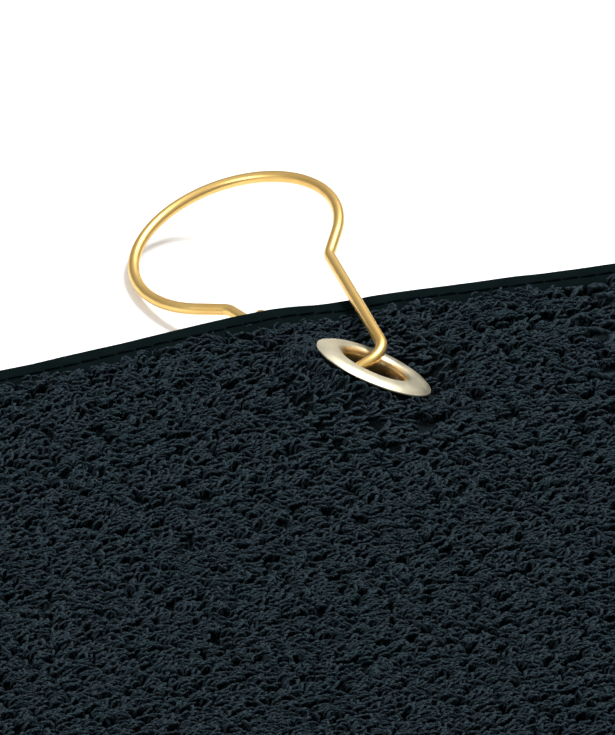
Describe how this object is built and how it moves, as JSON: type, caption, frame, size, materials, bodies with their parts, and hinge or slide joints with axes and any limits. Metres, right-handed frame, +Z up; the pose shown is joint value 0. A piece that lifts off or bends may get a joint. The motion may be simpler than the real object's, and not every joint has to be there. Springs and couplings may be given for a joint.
{
  "type": "golf towel",
  "caption": "Gate-folded terry golf towel with hemmed edges, a brass grommet near its top edge and a pear-shaped sprung wire hook that hangs it from a golf bag.",
  "frame": {"origin": "middle of the whole object's footprint, on the table", "axes": "+Y along the towel's length towards the hook's loop, +X to the right along the top edge seen from the towel's foot, +Z up out of the table"},
  "size_m": [0.2158, 0.6762, 0.0147],
  "materials": {
    "terry": "matt looped cotton pile, dark navy blue",
    "thread": "matt dark navy thread",
    "grommet_plate": "pale satin brass plate",
    "washer_brass": "satin brass",
    "hook_wire": "polished brass-plated spring wire"
  },
  "bodies": {
    "root": {"center_panel": "terry", "center_top_thread": "thread", "center_bottom_thread": "thread", "grommet_eyelet": "grommet_plate", "grommet_washer": "washer_brass"},
    "left_flap": {"left_flap": "terry", "left_flap_top_thread": "thread", "left_flap_bottom_thread": "thread", "left_flap_side_thread": "thread"},
    "right_flap": {"right_flap": "terry", "right_flap_top_thread": "thread", "right_flap_bottom_thread": "thread", "right_flap_side_thread": "thread"},
    "hook": {"hook_frame": "hook_wire"},
    "gate": {"hook_gate": "hook_wire"}
  },
  "joints": [
    {"name": "left_fold", "type": "hinge", "parent": "root", "child": "left_flap", "pos_m": [-0.108, 0, 0.00405], "axis": [0, 1, 0], "range_deg": [0, 180]},
    {"name": "right_fold", "type": "hinge", "parent": "root", "child": "right_flap", "pos_m": [0.108, 0, 0.00405], "axis": [0, -1, 0], "range_deg": [0, 180]},
    {"name": "hook_swing", "type": "hinge", "parent": "root", "child": "hook", "pos_m": [0, 0.27566, 0.0118], "axis": [0, 0, 1], "range_deg": [-12, 12]},
    {"name": "gate_open", "type": "hinge", "parent": "hook", "child": "gate", "pos_m": [-0.0009, 0.33724, 0.00602], "axis": [-0.9323, -0.0309, -0.3603], "range_deg": [0, 30], "stiffness_Nm_per_rad": 0.02}
  ]
}
